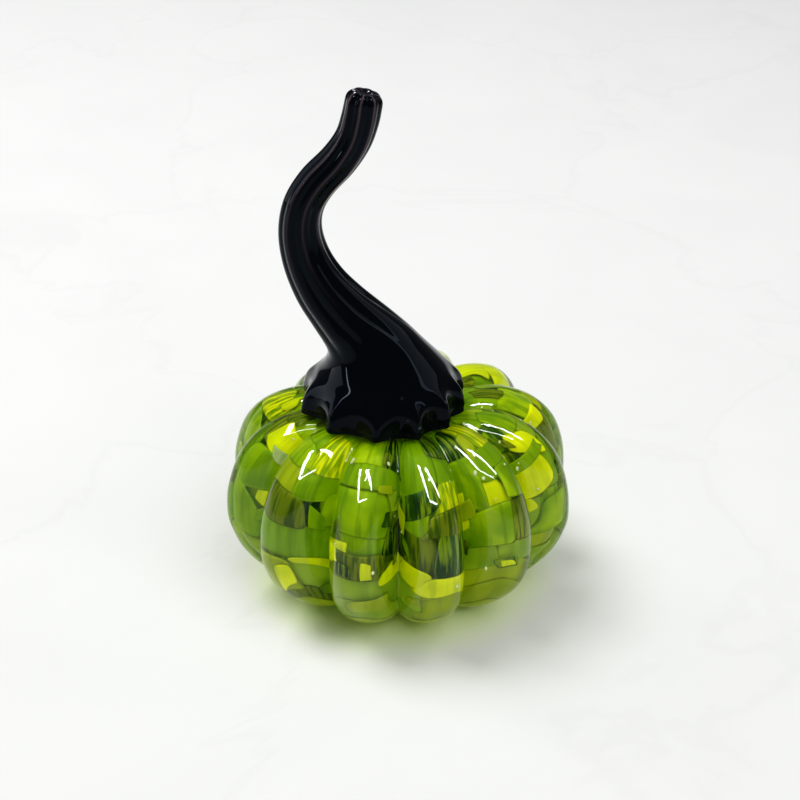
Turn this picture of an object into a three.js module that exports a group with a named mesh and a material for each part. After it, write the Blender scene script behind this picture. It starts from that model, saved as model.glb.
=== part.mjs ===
// Glass pumpkin ornament: a squat twelve-lobed glass body with a tall, curled glass stem on its crown.
// Units are millimetres. +Z is up, the body stands on z = 0, and -Y is the front.

import * as THREE from 'three';

// Lobed body
// Both lines run from the edge of the flat base, round the belly and in to the middle of the crown.
// Each point is [distance from the axis, height].
const RIDGE_LINE = [
  [16.9, 0], [23.9, 1.2], [30.3, 4.7], [35.1, 10], [37.5, 15.8], [38, 20.4], [37.4, 26.4],
  [35, 33], [30.7, 37.9], [24.9, 40.7], [19, 41.3], [12.5, 40.2], [6, 38.2], [0, 37.5],
];
const CREASE_LINE = [
  [15.2, 0], [20.6, 1.6], [24.8, 4.6], [26.2, 9.5], [26.4, 15], [26.1, 20.5], [25.4, 26],
  [24.2, 31.5], [22.6, 35.8], [19.8, 38.9], [16.5, 40], [11.5, 39.4], [6, 38], [0, 37.5],
];
// Where each crease stands, in degrees from the front towards +X, and how far the lobe after it reaches.
const CREASE_ANGLES = [0, 28.8, 59.8, 89.9, 120.5, 149.5, 180.6, 210.5, 240, 270.7, 298.3, 329.9];
const LOBE_REACH = [1, 0.985, 1, 1.01, 1.01, 1.03, 1, 0.91, 0.99, 1, 1, 1];
// A lobe's cross-section is an arc that turns this far to each side of its ridge.
const LOBE_HALF_ARC = THREE.MathUtils.degToRad(56);
const COLUMNS_PER_LOBE = 8;
const BODY_ROWS = 26;

// Stem
// Cross-sections from the skirt up to the end, which fan out round the bend at the neck:
// [left x, left height, right x, right height, y, half depth].
const STEM_SECTIONS = [
  [-20.3, 43.9, 13.5, 43.9, 0, 16.9], [-19.6, 46.2, 13.1, 46.4, 0, 16.3],
  [-17.7, 48.5, 11.3, 49.1, 0, 14.4], [-16.2, 50.3, 8.6, 52.2, 0, 12],
  [-15.3, 51.9, 5.7, 55.4, 0, 10.1], [-14.9, 53.5, 2.7, 58.7, 0.1, 8.7],
  [-15.2, 55.2, -0.9, 62.1, 0.2, 7.8], [-16.2, 57.2, -4.3, 65, 0.4, 7.3],
  [-17.9, 60, -7.5, 67.8, 0.7, 6.6], [-21.1, 65.7, -11.1, 71.6, 1, 5.6],
  [-23.6, 73, -13.8, 75.8, 1.4, 4.9], [-24.4, 80.6, -15.3, 80.6, 1.6, 4.5],
  [-23, 87.8, -15, 85, 1.4, 4.2], [-19.4, 93.9, -12.8, 89.1, 1, 4],
  [-15, 98.6, -8.8, 93.8, 0.5, 3.9], [-12.3, 102.5, -5.5, 99.1, 0, 3.8],
  [-11.1, 106.2, -3.7, 104.2, -0.3, 3.8], [-10.3, 109.8, -2.9, 108.2, -0.4, 3.8],
];
const STEM_END_LENGTH = 1.9;
const STEM_END_DIMPLE = 0.5;
const FLUTE_COUNT = 8;
const FLUTE_DEPTH = 0.09;
const FLUTE_TWIST = THREE.MathUtils.degToRad(55);
const STEM_COLUMNS = 72;
const STEM_ROWS = 34;

// Collar at the foot of the stem, with a scalloped rim that lies on the lobes
const COLLAR_CENTRE_X = -3.5;
const COLLAR_RADIUS = 16.8;
const SCALLOP_REACH = 1.6;
const LIP_THICKNESS = 1.5;
// The collar dips only this share of the way into the creases below it.
const COLLAR_SAG = 0.35;
const JOINT_GAP = 0.4;

const turn = 2 * Math.PI;
const front = -Math.PI / 2;
const lineThrough = (points) => new THREE.CatmullRomCurve3(
  points.map(([r, z]) => new THREE.Vector3(r, 0, z)), false, 'catmullrom', 0.5);
const ridgeLine = lineThrough(RIDGE_LINE);
const creaseLine = lineThrough(CREASE_LINE);

// The lobe that starts at crease number i, as the azimuth of its middle and its half width.
function lobeSpan(i) {
  const from = CREASE_ANGLES[i];
  const to = i + 1 < CREASE_ANGLES.length ? CREASE_ANGLES[i + 1] : 360;
  const middle = front + THREE.MathUtils.degToRad((from + to) / 2);
  const half = THREE.MathUtils.degToRad((to - from) / 2);
  return { middle, half, reach: LOBE_REACH[i] };
}

// Distance and height of the body's skin: t runs up the lines, depth is 0 on a ridge and 1 in a crease.
function skinPoint(t, depth, reach) {
  const ridge = ridgeLine.getPoint(t);
  const crease = creaseLine.getPoint(t);
  const belly = 1 - (1 - reach) * Math.sin(Math.PI * t);
  return {
    r: THREE.MathUtils.lerp(ridge.x * belly, crease.x, depth),
    z: THREE.MathUtils.lerp(ridge.z, crease.z, depth),
  };
}

// How deep into a crease an azimuth lies, with the reach of the lobe it is on.
function lobeAt(azimuth) {
  const angle = THREE.MathUtils.euclideanModulo(azimuth - front, turn);
  const degrees = THREE.MathUtils.radToDeg(angle);
  let i = CREASE_ANGLES.length - 1;
  while (i > 0 && CREASE_ANGLES[i] > degrees + 1e-6) {
    i -= 1;
  }
  const lobe = lobeSpan(i);
  const across = (angle + front - lobe.middle) / lobe.half;
  const side = THREE.MathUtils.clamp(across, -1, 1) * Math.sin(LOBE_HALF_ARC);
  const depth = (1 - Math.cos(Math.asin(side))) / (1 - Math.cos(LOBE_HALF_ARC));
  return { depth, across, reach: lobe.reach };
}

// Height of the crown at a distance from the axis, found by halving along the upper part of the skin.
// A sag of 1 follows the creases all the way in, and 0 bridges them from ridge to ridge.
function crownHeight(azimuth, distance, sag) {
  const lobe = lobeAt(azimuth);
  const depth = lobe.depth * sag;
  let low = 0.5;
  let high = 1;
  for (let step = 0; step < 40; step += 1) {
    const middle = (low + high) / 2;
    if (skinPoint(middle, depth, lobe.reach).r > distance) {
      low = middle;
    } else {
      high = middle;
    }
  }
  return skinPoint(low, depth, lobe.reach).z;
}

// A closed solid from rings of points, all anticlockwise seen from above, with a point at each end.
function closedSolid(bottom, rings, top) {
  const count = rings[0].length;
  const points = [bottom, ...rings.flat(), top];
  const faces = [];
  const last = points.length - 1;
  const at = (row, column) => 1 + row * count + (column % count);
  for (let column = 0; column < count; column += 1) {
    faces.push(0, at(0, column + 1), at(0, column));
    for (let row = 0; row + 1 < rings.length; row += 1) {
      faces.push(at(row, column), at(row, column + 1), at(row + 1, column + 1));
      faces.push(at(row, column), at(row + 1, column + 1), at(row + 1, column));
    }
    faces.push(at(rings.length - 1, column), at(rings.length - 1, column + 1), last);
  }
  const geometry = new THREE.BufferGeometry();
  const positions = points.flatMap((p) => [p.x, p.y, p.z]);
  geometry.setAttribute('position', new THREE.Float32BufferAttribute(positions, 3));
  geometry.setIndex(faces);
  geometry.computeVertexNormals();
  return geometry;
}

function bodyGeometry() {
  const rings = [];
  for (let row = 0; row < BODY_ROWS; row += 1) {
    const t = row / BODY_ROWS;
    const ring = [];
    for (let i = 0; i < CREASE_ANGLES.length; i += 1) {
      const lobe = lobeSpan(i);
      for (let column = 0; column < COLUMNS_PER_LOBE; column += 1) {
        const arc = LOBE_HALF_ARC * ((2 * column) / COLUMNS_PER_LOBE - 1);
        const azimuth = lobe.middle + (lobe.half * Math.sin(arc)) / Math.sin(LOBE_HALF_ARC);
        const depth = (1 - Math.cos(arc)) / (1 - Math.cos(LOBE_HALF_ARC));
        const { r, z } = skinPoint(t, depth, lobe.reach);
        ring.push(new THREE.Vector3(r * Math.cos(azimuth), r * Math.sin(azimuth), z));
      }
    }
    rings.push(ring);
  }
  const crown = skinPoint(1, 0, 1);
  return closedSolid(new THREE.Vector3(0, 0, 0), rings, new THREE.Vector3(0, 0, crown.z));
}

// How far the collar's scallops reach out: a point over each lobe and a wide notch at each crease.
function scallop(azimuth) {
  const notch = Math.abs(Math.sin((lobeAt(azimuth).across * Math.PI) / 2));
  return SCALLOP_REACH * (1 - 2 * notch);
}

// Distance from the body's axis to the collar's rim, a scalloped circle set off to one side.
function rimDistance(azimuth) {
  const side = COLLAR_CENTRE_X * Math.sin(azimuth);
  const circle = COLLAR_CENTRE_X * Math.cos(azimuth) + Math.sqrt(COLLAR_RADIUS ** 2 - side ** 2);
  return circle + scallop(azimuth);
}

// One ring of the collar, at a share of the rim's distance less a step back, above the crown by a lift.
function collarRing(share, back, lift) {
  const ring = [];
  for (let column = 0; column < STEM_COLUMNS; column += 1) {
    const azimuth = (column / STEM_COLUMNS) * turn;
    const distance = rimDistance(azimuth) * share - back;
    const z = crownHeight(azimuth, distance, COLLAR_SAG) + JOINT_GAP + lift;
    ring.push(new THREE.Vector3(distance * Math.cos(azimuth), distance * Math.sin(azimuth), z));
  }
  return ring;
}

// Frames up the stem. Each one is an ellipse: across reaches from its centre to its right edge, and
// beside to its back.
function stemFrames() {
  const curveOf = (pick) => new THREE.CatmullRomCurve3(STEM_SECTIONS.map(pick), false, 'catmullrom', 0.5);
  const leftEdge = curveOf(([x, z]) => new THREE.Vector3(x, 0, z));
  const rightEdge = curveOf(([, , x, z]) => new THREE.Vector3(x, 0, z));
  const depths = curveOf(([, , , , y, depth]) => new THREE.Vector3(0, y, depth));
  const frames = [];
  for (let row = 0; row <= STEM_ROWS; row += 1) {
    const t = row / STEM_ROWS;
    const left = leftEdge.getPoint(t);
    const right = rightEdge.getPoint(t);
    const depth = depths.getPoint(t);
    const across = right.clone().sub(left).multiplyScalar(0.5);
    const beside = new THREE.Vector3(0, depth.z, 0);
    frames.push({
      t, across, beside,
      centre: left.clone().add(right).multiplyScalar(0.5).setY(depth.y),
      along: across.clone().cross(beside).normalize(),
      radius: across.length(),
    });
  }
  return frames;
}

// Turn of a column about the stem. At the rim the columns stand where the body's own azimuths meet it,
// and higher up they are evenly spaced.
function columnAngle(azimuth, t) {
  const offset = Math.asin((COLLAR_CENTRE_X * Math.sin(azimuth)) / COLLAR_RADIUS);
  return azimuth + offset * (1 - THREE.MathUtils.smoothstep(t, 0, 0.4));
}

// One ring round the stem, drawn in by a length and moved along it by a shift. The rim's scallops fade
// out up the skirt, and the slowly turning flutes begin above it.
function stemRing(frame, drawnIn, shift) {
  const ring = [];
  const pleated = 1 - THREE.MathUtils.smoothstep(frame.t, -0.03, 0.11);
  const fluted = FLUTE_DEPTH * THREE.MathUtils.smoothstep(frame.t, 0.25, 0.5);
  for (let column = 0; column < STEM_COLUMNS; column += 1) {
    const azimuth = (column / STEM_COLUMNS) * turn;
    const angle = columnAngle(azimuth, frame.t);
    const flute = Math.abs(Math.cos(((angle + FLUTE_TWIST * frame.t) * FLUTE_COUNT) / 2));
    const share = 1 - fluted * (1 - flute) + (pleated * scallop(azimuth) - drawnIn) / frame.radius;
    ring.push(frame.centre.clone()
      .addScaledVector(frame.across, share * Math.cos(angle))
      .addScaledVector(frame.beside, share * Math.sin(angle))
      .addScaledVector(frame.along, shift));
  }
  return ring;
}

function stemGeometry() {
  const frames = stemFrames();
  const end = frames[frames.length - 1];
  const rings = [];
  for (const share of [0.25, 0.5, 0.75, 0.88]) {
    rings.push(collarRing(share, 0, 0));
  }
  rings.push(collarRing(1, 0.5, 0));
  rings.push(collarRing(1, 0, LIP_THICKNESS * 0.3));
  rings.push(collarRing(1, 0, LIP_THICKNESS * 0.7));
  rings.push(collarRing(1, 0.2, LIP_THICKNESS));
  for (const frame of frames) {
    rings.push(stemRing(frame, 0, 0));
  }
  for (const rounding of [30, 60, 85]) {
    const angle = THREE.MathUtils.degToRad(rounding);
    const drawnIn = STEM_END_LENGTH * (1 - Math.cos(angle));
    rings.push(stemRing(end, drawnIn, STEM_END_LENGTH * Math.sin(angle)));
  }
  const foot = new THREE.Vector3(0, 0, skinPoint(1, 0, 1).z + JOINT_GAP);
  const dimple = end.centre.clone().addScaledVector(end.along, STEM_END_LENGTH - STEM_END_DIMPLE);
  return closedSolid(foot, rings, dimple);
}

function namedMesh(name, geometry, material) {
  const mesh = new THREE.Mesh(geometry, new THREE.MeshStandardMaterial(material));
  mesh.name = name;
  return mesh;
}

const pumpkin = new THREE.Group();
pumpkin.add(namedMesh('body', bodyGeometry(), { color: '#8fb019', roughness: 0.04, metalness: 0 }));
pumpkin.add(namedMesh('stem', stemGeometry(), { color: '#14151c', roughness: 0.07, metalness: 0 }));

export default pumpkin;
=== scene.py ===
import math
import random

import bpy
import numpy as np
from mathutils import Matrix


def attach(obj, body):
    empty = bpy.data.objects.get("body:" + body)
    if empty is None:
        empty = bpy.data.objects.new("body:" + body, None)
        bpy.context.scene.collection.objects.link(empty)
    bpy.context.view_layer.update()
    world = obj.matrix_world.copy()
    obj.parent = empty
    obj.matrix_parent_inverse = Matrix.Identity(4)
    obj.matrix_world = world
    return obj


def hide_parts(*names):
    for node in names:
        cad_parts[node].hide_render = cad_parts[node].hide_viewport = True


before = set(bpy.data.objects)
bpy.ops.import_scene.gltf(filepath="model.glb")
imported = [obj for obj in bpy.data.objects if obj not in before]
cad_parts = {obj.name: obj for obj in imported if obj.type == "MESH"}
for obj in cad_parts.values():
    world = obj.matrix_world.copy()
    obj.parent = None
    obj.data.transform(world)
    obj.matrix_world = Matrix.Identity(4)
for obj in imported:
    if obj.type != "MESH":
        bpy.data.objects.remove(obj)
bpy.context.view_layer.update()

# The table: a sheet of white paper with faint creases drawn as lines of painted shade and a painted
# pool of green light round the foot, under two broad soft lamps. The other lamps are only mirrored:
# tubes in the clear glass, and strips, panels and two small lamps in the stem.
# The camera stands in front, thirty degrees up, and looks at the middle of the ornament.
CAMERA_RISE = math.radians(30.01)
CAMERA_DISTANCE = 0.37902
CAMERA_TARGET = (0.000378, 0.0, 0.041763)
CAMERA_LENS_MM = 80.05
PAPER_HALF_WIDTH = 1.6
PAPER_DROP = 0.00015
PAINTED_FOOT_LIGHT_REACH = (0.024, 0.038)  # metres from the middle, where painted green light lies on the paper
DEEP_DARKS = [(0.03, 0.014), (0.11, 0.095), (0.3, 0.3)]  # linear brightness, and as shown

camera = bpy.data.objects.new("camera", bpy.data.cameras.new("camera"))
bpy.context.collection.objects.link(camera)
camera.location = (
    CAMERA_TARGET[0],
    CAMERA_TARGET[1] - CAMERA_DISTANCE * math.cos(CAMERA_RISE),
    CAMERA_TARGET[2] + CAMERA_DISTANCE * math.sin(CAMERA_RISE),
)
camera.rotation_euler = (math.pi / 2 - CAMERA_RISE, 0.0, 0.0)
camera.data.sensor_width = 36.0
camera.data.lens = CAMERA_LENS_MM
camera.data.clip_start = 0.01
bpy.context.scene.camera = camera
view = bpy.context.scene.view_settings
view.view_transform = "Standard"
view.use_curve_mapping = True
for brightness, shown in DEEP_DARKS:
    view.curve_mapping.curves[3].points.new(brightness, shown)
view.curve_mapping.update()


def new_material(name):
    """A new material, its empty node tree and the tree's output node."""
    material = bpy.data.materials.new(name)
    material.use_nodes = True
    tree = material.node_tree
    tree.nodes.clear()
    return material, tree, tree.nodes.new("ShaderNodeOutputMaterial")


def mesh_piece(name, points, faces, material):
    """A smooth-shaded mesh object in metres."""
    mesh = bpy.data.meshes.new(name)
    mesh.from_pydata([tuple(p) for p in points], [], [tuple(f) for f in faces])
    mesh.materials.append(material)
    mesh.polygons.foreach_set("use_smooth", [True] * len(mesh.polygons))
    mesh.update()
    piece = bpy.data.objects.new(name, mesh)
    bpy.context.collection.objects.link(piece)
    return piece


paper_white, tree, surface = new_material("paper_white")
paper = tree.nodes.new("ShaderNodeBsdfPrincipled")
paper.inputs["Roughness"].default_value = 0.85
paper.inputs["Specular IOR Level"].default_value = 0.2
place = tree.nodes.new("ShaderNodeTexCoord")
wrinkles = tree.nodes.new("ShaderNodeTexNoise")
wrinkles.inputs["Scale"].default_value = 14.0
wrinkles.inputs["Detail"].default_value = 5.0
wrinkles.inputs["Distortion"].default_value = 1.4
paper_tone = tree.nodes.new("ShaderNodeValToRGB")
paper_tone.color_ramp.elements[0].color = (0.76, 0.765, 0.755, 1.0)
paper_tone.color_ramp.elements[1].color = (0.82, 0.823, 0.81, 1.0)
bent = tree.nodes.new("ShaderNodeVectorMath")
bent.operation = "MULTIPLY_ADD"
bent.inputs[1].default_value = (0.12, 0.12, 0.0)
# Painted shade: the paper is darkened along fold lines, standing for the shade that lies in its creases.
folds = tree.nodes.new("ShaderNodeTexVoronoi")
folds.feature = "DISTANCE_TO_EDGE"
folds.inputs["Scale"].default_value = 6.5
fold_shade_line = tree.nodes.new("ShaderNodeMapRange")
fold_shade_line.interpolation_type = "SMOOTHSTEP"
fold_shade_line.inputs["From Min"].default_value = 0.022
fold_shade_line.inputs["From Max"].default_value = 0.0
fold_shade_line.inputs["To Max"].default_value = 0.05
fold_shaded = tree.nodes.new("ShaderNodeMix")
fold_shaded.data_type = "RGBA"
fold_shaded.inputs["B"].default_value = (0.45, 0.45, 0.44, 1.0)
# Painted light: the paper is tinted green close to the middle, a painted pool of the green light that passes
# through the glass.
from_middle = tree.nodes.new("ShaderNodeVectorMath")
from_middle.operation = "LENGTH"
painted_foot_light = tree.nodes.new("ShaderNodeMapRange")
painted_foot_light.interpolation_type = "SMOOTHSTEP"
painted_foot_light.inputs["From Min"].default_value = PAINTED_FOOT_LIGHT_REACH[1]
painted_foot_light.inputs["From Max"].default_value = PAINTED_FOOT_LIGHT_REACH[0]
painted_foot_light.inputs["To Max"].default_value = 0.55
painted_light_tinted = tree.nodes.new("ShaderNodeMix")
painted_light_tinted.data_type = "RGBA"
painted_light_tinted.inputs["B"].default_value = (0.74, 0.86, 0.30, 1.0)
paper_bump = tree.nodes.new("ShaderNodeBump")
paper_bump.inputs["Strength"].default_value = 0.3
paper_bump.inputs["Distance"].default_value = 0.002
tree.links.new(place.outputs["Object"], wrinkles.inputs["Vector"])
tree.links.new(wrinkles.outputs["Fac"], paper_tone.inputs["Fac"])
tree.links.new(wrinkles.outputs["Color"], bent.inputs[0])
tree.links.new(place.outputs["Object"], bent.inputs[2])
tree.links.new(bent.outputs["Vector"], folds.inputs["Vector"])
tree.links.new(folds.outputs["Distance"], fold_shade_line.inputs["Value"])
tree.links.new(fold_shade_line.outputs["Result"], fold_shaded.inputs["Factor"])
tree.links.new(paper_tone.outputs["Color"], fold_shaded.inputs["A"])
tree.links.new(place.outputs["Object"], from_middle.inputs[0])
tree.links.new(from_middle.outputs["Value"], painted_foot_light.inputs["Value"])
tree.links.new(painted_foot_light.outputs["Result"], painted_light_tinted.inputs["Factor"])
tree.links.new(fold_shaded.outputs["Result"], painted_light_tinted.inputs["A"])
tree.links.new(painted_light_tinted.outputs["Result"], paper.inputs["Base Color"])
tree.links.new(wrinkles.outputs["Fac"], paper_bump.inputs["Height"])
tree.links.new(paper_bump.outputs["Normal"], paper.inputs["Normal"])
tree.links.new(paper.outputs["BSDF"], surface.inputs["Surface"])

edge = PAPER_HALF_WIDTH
paper_corners = [(-edge, -edge), (edge, -edge), (edge, edge), (-edge, edge)]
paper_sheet = mesh_piece(
    "paper_sheet",
    [(x, y, -PAPER_DROP) for x, y in paper_corners],
    [(0, 1, 2, 3)],
    paper_white,
)


def lamp(name, place, aim, size, watts, turn=0.0, mirrored_in=None):
    """A rectangular lamp that points at aim. With a collection to be mirrored in, it is seen in the
    glass of those pieces and does nothing else. Without one, it lights everything, unmirrored."""
    light = bpy.data.lights.new(name, "AREA")
    light.shape = "RECTANGLE"
    light.size, light.size_y = size
    light.energy = watts
    holder = bpy.data.objects.new(name, light)
    bpy.context.collection.objects.link(holder)
    holder.location = place
    direction = np.array(aim) - np.array(place)
    holder.rotation_euler = (
        math.atan2(math.hypot(direction[0], direction[1]), -direction[2]),
        0.0,
        math.atan2(direction[0], -direction[1]) + math.pi + math.radians(turn),
    )
    if mirrored_in is None:
        holder.visible_glossy = False
    else:
        holder.visible_diffuse = False
        holder.light_linking.receiver_collection = mirrored_in


clear_pieces = bpy.data.collections.new("clear_pieces")
dark_pieces = bpy.data.collections.new("dark_pieces")
lamp("soft_lamp", (-0.45, 0.28, 0.95), (0.0, 0.0, 0.0), (0.5, 0.5), 8.8)
lamp("fill_lamp", (0.40, -0.35, 0.95), (0.0, 0.0, 0.0), (0.8, 0.8), 6.0)
lamp("left_tube", (-0.31, -0.14, 0.9), (-0.31, -0.14, 0.0), (0.10, 0.95), 15.0, 0, clear_pieces)
lamp("right_tube", (0.24, -0.08, 0.9), (0.24, -0.08, 0.0), (0.08, 0.85), 11.0, 45, clear_pieces)
lamp("front_tube", (0.02, -0.66, 0.9), (0.02, -0.66, 0.0), (0.6, 0.07), 6.0, 0, clear_pieces)
lamp("short_tube", (0.02, 0.10, 0.9), (0.02, 0.10, 0.0), (0.03, 0.30), 1.6, -12, clear_pieces)
lamp("left_strip", (-0.75, -0.25, 0.55), (0.0, 0.0, 0.08), (0.04, 0.9), 1.0, 0, dark_pieces)
lamp("right_strip", (0.75, -0.10, 0.60), (0.0, 0.0, 0.08), (0.08, 0.9), 0.5, 0, dark_pieces)
lamp("back_strip", (-0.15, 0.95, 0.75), (0.0, 0.0, 0.1), (0.3, 0.10), 4.0, 0, dark_pieces)
lamp("left_panel", (-1.1, 0.15, 0.35), (0.0, 0.0, 0.05), (0.6, 0.7), 2.2, 0, dark_pieces)
lamp("right_panel", (0.95, 0.35, 0.85), (0.0, 0.0, 0.05), (0.9, 0.8), 2.0, 0, dark_pieces)
lamp("left_tip_lamp", (-0.33, -0.10, 0.9), (0.0, 0.0, 0.1), (0.06, 0.16), 1.6, 0, dark_pieces)
lamp("right_tip_lamp", (0.30, -0.10, 0.9), (0.0, 0.0, 0.1), (0.05, 0.16), 1.2, 0, dark_pieces)

room = bpy.data.worlds.new("room")
bpy.context.scene.world = room
room.use_nodes = True
room_light = room.node_tree.nodes["Background"]
room_light.inputs["Color"].default_value = (0.96, 0.98, 1.0, 1.0)
room_light.inputs["Strength"].default_value = 0.22


# The body is blown into a ribbed mould that gives it twelve round lobes. What is seen is its clear
# outer glass, thick over the lobes and thin in the creases, fire-polished all over and flattened
# where it was ground to stand.
CROWN_MM = 37.5
RIDGE_LINE_MM = [
    (16.9, 0), (23.9, 1.2), (30.3, 4.7), (35.1, 10), (37.5, 15.8), (38, 20.4), (37.4, 26.4),
    (35, 33), (30.7, 37.9), (24.9, 40.7), (19, 41.3), (12.5, 40.2), (6, 38.2), (0, CROWN_MM),
]
CREASE_LINE_MM = [
    (15.2, 0), (20.6, 1.6), (24.8, 4.6), (26.2, 9.5), (26.4, 15), (26.1, 20.5), (25.4, 26),
    (24.2, 31.5), (22.6, 35.8), (19.8, 38.9), (16.5, 40), (11.5, 39.4), (6, 38), (0, CROWN_MM),
]
CREASE_DEGREES = [0, 28.8, 59.8, 89.9, 120.5, 149.5, 180.6, 210.5, 240, 270.7, 298.3, 329.9, 360]
LOBE_REACH = [1, 0.985, 1, 1.01, 1.01, 1.03, 1, 0.91, 0.99, 1, 1, 1]
LOBES = len(LOBE_REACH)
LOBE_HALF_ARC = math.radians(56)
FULL_RELIEF_MM = 7.0  # height of a lobe over its creases from which a depth counts in full
LEAST_DEPTH_SHARE = 0.3
CREASE_DEPTH_SHARE = 0.5
WAVES = 3  # sine waves that are added up
WAVE_DEPTH_MM = 0.2
CASING_INSET_MM = 0.12
CASING_COLUMNS = 26
CASING_ROWS = 150
MM = 0.001
FRONT = -math.pi / 2


def curve_at(points, t):
    """Points of a smooth curve through the given ones, with t from 0 at the first to 1 at the last."""
    points = np.array(points, float)
    ends = np.vstack([2 * points[0] - points[1], points, 2 * points[-1] - points[-2]])
    place = np.asarray(t, float) * (len(points) - 1)
    start = np.clip(place.astype(int), 0, len(points) - 2)
    u = (place - start)[..., None]
    before, near, far, after = (ends[start + i] for i in range(4))
    leave, arrive = (far - before) / 2, (after - near) / 2
    return (
        (2 * near - 2 * far + leave + arrive) * u**3
        + (3 * far - 3 * near - 2 * leave - arrive) * u**2
        + leave * u
        + near
    )


def sunk_line(points, t, depth):
    """A skin line moved inwards by a depth, square to itself."""
    step = 1e-3
    on_line = curve_at(points, t)
    heading = curve_at(points, np.clip(t + step, 0, 1)) - curve_at(points, np.clip(t - step, 0, 1))
    heading /= np.maximum(np.linalg.norm(heading, axis=-1, keepdims=True), 1e-9)
    inwards = np.stack([-heading[..., 1], heading[..., 0]], axis=-1)
    return on_line + inwards * np.asarray(depth)[..., None]


def lobe_skin(lobe, across, t, depth=0.0, rounding=0.0):
    """Points on a lobe, or at a depth in mm beneath it. across runs from -1 to 1 between its creases,
    t from the flat foot over the belly to the crown, and rounding softens the creases."""
    lobe, across, t, depth = np.broadcast_arrays(lobe, across, t, depth)
    edges = np.array(CREASE_DEGREES)
    middle = FRONT + np.radians((edges[lobe] + edges[lobe + 1]) / 2)
    half = np.radians((edges[lobe + 1] - edges[lobe]) / 2)

    def dip(side):
        return 1 - np.cos(np.arcsin(np.clip(side, -1, 1) * math.sin(LOBE_HALF_ARC)))

    share = dip(across * (1 - rounding * across**8)) / dip(np.array(1 - rounding))
    relief = np.linalg.norm(curve_at(RIDGE_LINE_MM, t) - curve_at(CREASE_LINE_MM, t), axis=-1)
    depth = depth * np.clip(relief / FULL_RELIEF_MM, LEAST_DEPTH_SHARE, 1)
    ridge = sunk_line(RIDGE_LINE_MM, t, depth)
    crease = sunk_line(CREASE_LINE_MM, t, depth * CREASE_DEPTH_SHARE)
    belly = 1 - (1 - np.array(LOBE_REACH)[lobe]) * np.sin(math.pi * t)
    radius = ridge[..., 0] * belly * (1 - share) + crease[..., 0] * share
    height = ridge[..., 1] * (1 - share) + crease[..., 1] * share
    azimuth = middle + half * across
    return np.stack([radius * np.cos(azimuth), radius * np.sin(azimuth), height], axis=-1) * MM


def closed_rings(rings, bottom, top):
    """Points and faces of a closed shape from rings of points, with a point at each end."""
    count = rings.shape[1]
    points = np.vstack([bottom, rings.reshape(-1, 3), top])
    last = len(points) - 1
    columns = np.arange(count)
    after = (columns + 1) % count
    faces = [(0, 1 + b, 1 + a) for a, b in zip(columns, after)]
    for row in range(len(rings) - 1):
        low, high = 1 + row * count, 1 + (row + 1) * count
        faces += [(low + a, low + b, high + b, high + a) for a, b in zip(columns, after)]
    high = 1 + (len(rings) - 1) * count
    faces += [(high + a, high + b, last) for a, b in zip(columns, after)]
    return points, faces


clear_casing, tree, surface = new_material("clear_casing")
casing_glass = tree.nodes.new("ShaderNodeBsdfPrincipled")
casing_glass.inputs["Transmission Weight"].default_value = 1.0
casing_glass.inputs["Metallic"].default_value = 0.0
casing_glass.inputs["Roughness"].default_value = 0.0
casing_glass.inputs["IOR"].default_value = 1.43
casing_glass.inputs["Base Color"].default_value = (0.97, 1.0, 0.93, 1.0)
lamp_glass = tree.nodes.new("ShaderNodeBsdfTransparent")
lamp_glass.inputs["Color"].default_value = (0.97, 1.0, 0.92, 1.0)
path = tree.nodes.new("ShaderNodeLightPath")
soft_ray = tree.nodes.new("ShaderNodeMath")
soft_ray.operation = "MAXIMUM"
glass_or_lamp = tree.nodes.new("ShaderNodeMixShader")
tree.links.new(path.outputs["Is Shadow Ray"], soft_ray.inputs[0])
tree.links.new(path.outputs["Is Diffuse Ray"], soft_ray.inputs[1])
tree.links.new(soft_ray.outputs["Value"], glass_or_lamp.inputs["Fac"])
tree.links.new(casing_glass.outputs["BSDF"], glass_or_lamp.inputs[1])
tree.links.new(lamp_glass.outputs["BSDF"], glass_or_lamp.inputs[2])
tree.links.new(glass_or_lamp.outputs["Shader"], surface.inputs["Surface"])

arcs = LOBE_HALF_ARC * (2 * np.arange(CASING_COLUMNS) / CASING_COLUMNS - 1)
casing_across = np.tile(np.sin(arcs) / math.sin(LOBE_HALF_ARC), LOBES)
casing_lobe = np.repeat(np.arange(LOBES), CASING_COLUMNS)
casing_t = np.arange(CASING_ROWS) / CASING_ROWS
casing_turn = 2 * math.pi * (casing_lobe + (1 + casing_across) / 2)[None, :] / LOBES
waves = np.sin(5 * casing_turn + 29 * casing_t[:, None])
waves += np.sin(11 * casing_turn - 17 * casing_t[:, None] + 2)
waves += np.sin(31 * casing_t[:, None] + 3 * np.sin(5 * casing_turn))
casing_depth = CASING_INSET_MM + WAVE_DEPTH_MM * (waves + WAVES) / (2 * WAVES)
casing_rings = lobe_skin(casing_lobe[None, :], casing_across[None, :], casing_t[:, None], casing_depth)
casing = mesh_piece(
    "casing",
    *closed_rings(casing_rings, np.zeros((1, 3)), np.array([[0, 0, CROWN_MM]]) * MM),
    clear_casing,
)
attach(casing, "root")
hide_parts("body")
clear_pieces.objects.link(casing)


# The colour lies in the glass, not on it: chips of green, yellow and olive glass were picked up on
# the hot gather and melted in, and the clear casing over them magnifies them. Behind them the
# thin green wall of the hollow blow shows as a darker, streaky ground.
CHIP_DEPTH_MM = 2.6
CHIP_LEVEL_MM = 0.55
CHIP_THICKNESS_MM = 0.7
CHIP_OVERLAP_MM = 0.35
CHIP_BOW = 0.055
SLIVER_RISE_MM = 0.7
SLIVER_THICKNESS_MM = 0.4
CHIP_STEPS = 13
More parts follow.
